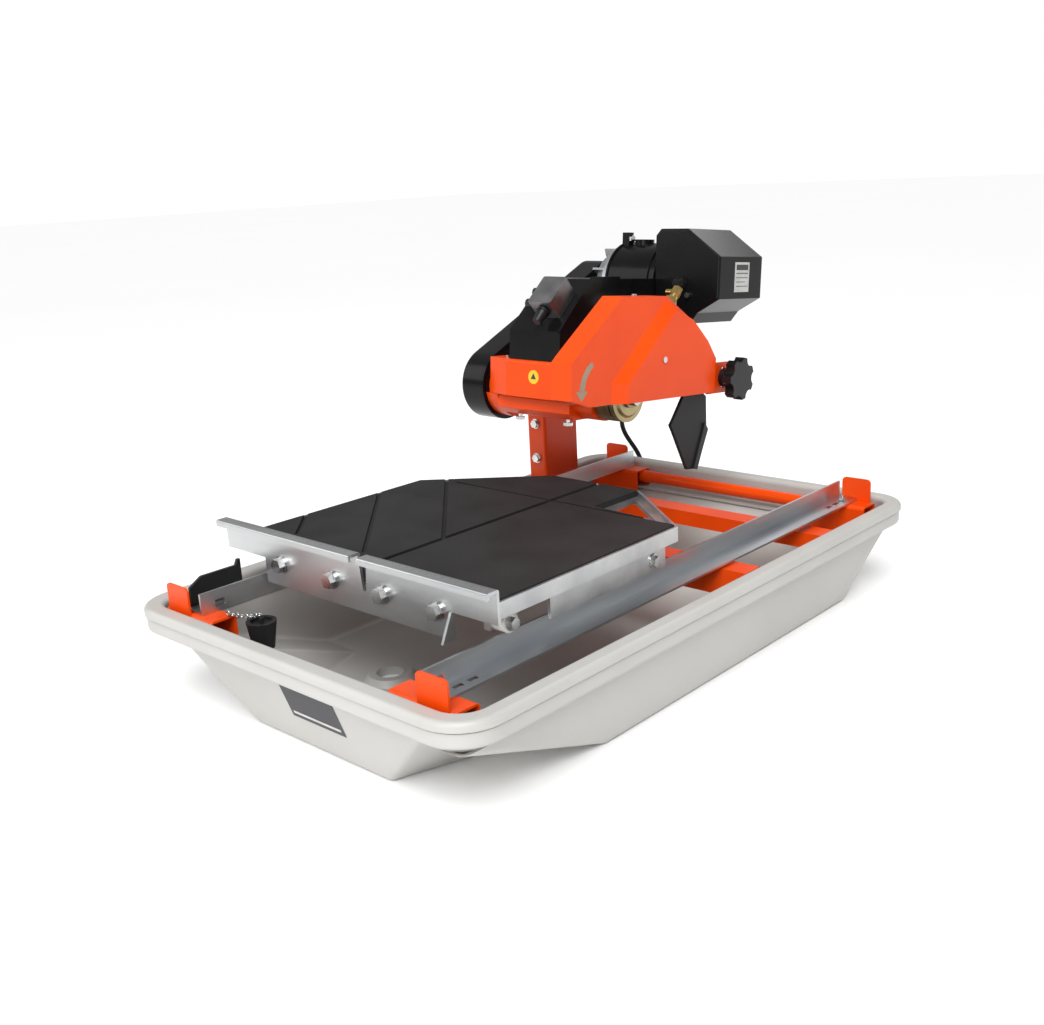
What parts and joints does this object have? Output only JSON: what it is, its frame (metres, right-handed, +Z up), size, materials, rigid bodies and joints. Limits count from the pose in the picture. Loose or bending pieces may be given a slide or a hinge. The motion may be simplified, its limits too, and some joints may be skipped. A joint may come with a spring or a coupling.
{
  "type": "wet tile saw",
  "caption": "Wet tile saw: a moulded water pan with rails, a rolling rubber topped table with a fence, and a belt driven tilting head with a blade guard on a rear post.",
  "frame": {"origin": "centre of the pan's footprint on the floor, below the middle of the pan's rim", "axes": "+X to the right, -Y to the front where the fence is, +Z up"},
  "size_m": [0.66, 1.2034, 0.5924],
  "materials": {
    "pan_plastic": "matte",
    "orange_paint": "gloss",
    "black_paint": "satin",
    "galvanised": "satin",
    "zinc": "satin",
    "olive_zinc": "satin",
    "cast_table": "satin",
    "cast_silver": "satin",
    "rubber": "matte",
    "black_plastic": "satin",
    "nylon": "satin",
    "brass": "satin",
    "plate": "satin"
  },
  "bodies": {
    "base": {"pan": "pan_plastic", "drain_plug": "rubber", "plug_chain": "zinc", "front_left_bracket": "orange_paint", "front_right_bracket": "orange_paint", "rear_cross_frame": "orange_paint", "mid_cross_member": "orange_paint", "rail_left": "galvanised", "rail_right": "galvanised", "rail_bolts": "zinc", "rail_bumper": "rubber", "post": "orange_paint", "post_foot": "orange_paint", "post_bolts": "zinc", "pivot_saddle": "orange_paint", "pivot_pin": "zinc", "power_cord": "rubber", "cord_coil": "rubber", "power_plug": "black_plastic"},
    "head": {"spindle_housing": "orange_paint", "spindle_bearings": "zinc", "housing_cover": "orange_paint", "housing_bolts": "zinc", "motor_bracket": "black_paint", "belt_guard": "black_paint", "belt_guard_backplate": "black_paint", "motor_body": "black_paint", "motor_end_bell": "cast_silver", "motor_end_cover": "black_paint", "nameplate": "plate", "motor_bolts": "zinc", "drive_belt": "rubber", "switch_box": "zinc", "cable_glands": "black_plastic", "knob_stud": "zinc", "guard_arm": "black_paint", "cord_strain_relief": "black_plastic"},
    "guard": {"blade_guard": "orange_paint", "guard_screws": "zinc", "water_fitting": "brass", "splash_flap": "rubber"},
    "spindle": {"spindle_shaft": "zinc", "spindle_pulley": "olive_zinc", "inner_flange": "olive_zinc", "outer_flange": "olive_zinc", "arbor_nut": "zinc"},
    "rotor": {"motor_shaft": "zinc", "motor_pulley": "olive_zinc"},
    "clamp_knob": {"star_knob": "black_plastic"},
    "switch": {"switch_toggle": "black_plastic"},
    "cart": {"table_frame": "cast_table", "rubber_pads": "rubber", "fence": "cast_table", "fence_bracket": "zinc", "fence_bolts": "zinc", "roller_axles": "zinc"},
    "roller_front_left_wheel": {"roller_front_left": "nylon"},
    "roller_rear_left_wheel": {"roller_rear_left": "nylon"},
    "roller_front_right_wheel": {"roller_front_right": "nylon"},
    "roller_rear_right_wheel": {"roller_rear_right": "nylon"}
  },
  "joints": [
    {"name": "head_tilt", "type": "hinge", "parent": "base", "child": "head", "pos_m": [-0.241, 0.3105, 0.304], "axis": [1, 0, 0], "range_deg": [-20, 5.2], "deforming": ["power_cord"]},
    {"name": "guard_tilt", "type": "hinge", "parent": "head", "child": "guard", "pos_m": [0.01, 0.16945, 0.35091], "axis": [1, 0, 0], "range_deg": [-1.5, 1.5]},
    {"name": "knob_turn", "type": "hinge", "parent": "head", "child": "clamp_knob", "pos_m": [0.048, 0.42567, 0.34165], "axis": [1, 0, 0], "range_deg": [0, 180]},
    {"name": "spindle_spin", "type": "hinge", "parent": "head", "child": "spindle", "pos_m": [-0.1, 0.16945, 0.35091], "axis": [1, 0, 0], "continuous": true},
    {"name": "rotor_spin", "type": "hinge", "parent": "head", "child": "rotor", "pos_m": [-0.15, 0.44958, 0.49411], "axis": [1, 0, 0], "continuous": true},
    {"name": "switch_throw", "type": "hinge", "parent": "head", "child": "switch", "pos_m": [-0.116, 0.13228, 0.48439], "axis": [1, 0, 0], "range_deg": [-8, 8]},
    {"name": "cart_slide", "type": "slide", "parent": "base", "child": "cart", "axis": [0, 1, 0], "range_m": [-0.07, 0.42], "deforming": ["splash_flap"]},
    {"name": "roller_front_left_roll", "type": "hinge", "parent": "cart", "child": "roller_front_left_wheel", "pos_m": [-0.206, -0.3405, 0.187], "axis": [1, 0, 0], "range_deg": [-1900, 320]},
    {"name": "roller_rear_left_roll", "type": "hinge", "parent": "cart", "child": "roller_rear_left_wheel", "pos_m": [-0.206, -0.0645, 0.187], "axis": [1, 0, 0], "range_deg": [-1900, 320]},
    {"name": "roller_front_right_roll", "type": "hinge", "parent": "cart", "child": "roller_front_right_wheel", "pos_m": [0.218, -0.3405, 0.187], "axis": [1, 0, 0], "range_deg": [-1900, 320]},
    {"name": "roller_rear_right_roll", "type": "hinge", "parent": "cart", "child": "roller_rear_right_wheel", "pos_m": [0.218, -0.0645, 0.187], "axis": [1, 0, 0], "range_deg": [-1900, 320]}
  ],
  "couplings": [
    {"joint": "spindle_spin", "follows": "rotor_spin", "ratio": 0.7795},
    {"joint": "roller_front_left_roll", "follows": "cart_slide", "rad_per_m": -76.923},
    {"joint": "roller_rear_left_roll", "follows": "cart_slide", "rad_per_m": -76.923},
    {"joint": "roller_front_right_roll", "follows": "cart_slide", "rad_per_m": -76.923},
    {"joint": "roller_rear_right_roll", "follows": "cart_slide", "rad_per_m": -76.923}
  ]
}
